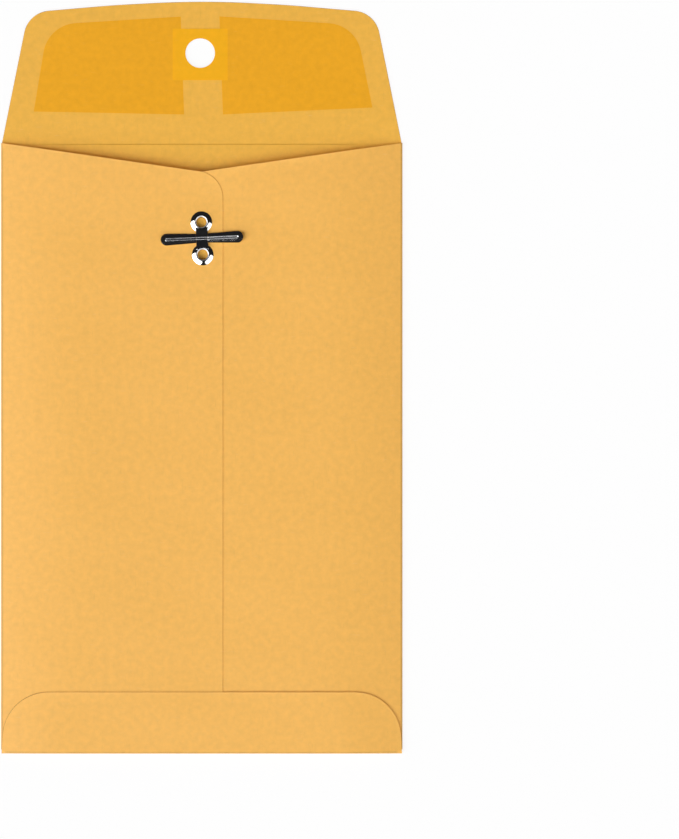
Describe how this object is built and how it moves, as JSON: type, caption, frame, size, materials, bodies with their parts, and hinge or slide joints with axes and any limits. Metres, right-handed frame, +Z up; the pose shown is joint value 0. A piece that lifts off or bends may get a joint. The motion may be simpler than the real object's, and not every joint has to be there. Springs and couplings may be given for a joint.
{
  "type": "clasp envelope",
  "caption": "Flat kraft paper pocket envelope with an open gummed flap, a reinforced clasp hole and a stamped tinplate clasp whose prongs bend up through the hole.",
  "frame": {"origin": "centre of the front panel's outer face, which the envelope lies on", "axes": "+X across the pocket, +Y from the bottom edge towards the flap, +Z up out of the back, where the clasp is"},
  "size_m": [0.151, 0.283, 0.0038],
  "materials": {
    "kraft_paper": "uncoated kraft paper",
    "gum": "dried clear gum over kraft",
    "patch_paper": "gummed reinforcement paper",
    "glue": "dried adhesive film",
    "tinplate": "bright tinned steel"
  },
  "bodies": {
    "pocket": {"front_panel": "kraft_paper", "left_side_fold": "kraft_paper", "right_side_fold": "kraft_paper", "left_back_panel": "kraft_paper", "right_back_panel": "kraft_paper", "seam_glue": "glue", "bottom_fold": "kraft_paper", "bottom_flap": "kraft_paper", "bottom_glue": "glue", "flap_crease": "kraft_paper", "clasp_base": "tinplate"},
    "flap": {"closure_flap": "kraft_paper", "left_gum": "gum", "right_gum": "gum", "hole_patch": "patch_paper"},
    "left_prong": {"left_prong": "tinplate"},
    "right_prong": {"right_prong": "tinplate"}
  },
  "joints": [
    {"name": "flap_fold", "type": "hinge", "parent": "pocket", "child": "flap", "pos_m": [0, 0.1145, 0.00146], "axis": [1, 0, 0], "range_deg": [0, 177], "deforming": ["flap_crease"]},
    {"name": "left_prong_bend", "type": "hinge", "parent": "pocket", "child": "left_prong", "pos_m": [-0.002, 0.07911, 0.00348], "axis": [-0.0419, 0.9991, 0], "range_deg": [0, 90]},
    {"name": "right_prong_bend", "type": "hinge", "parent": "pocket", "child": "right_prong", "pos_m": [0.0024, 0.07929, 0.00348], "axis": [0.0419, -0.9991, 0], "range_deg": [0, 90]}
  ]
}
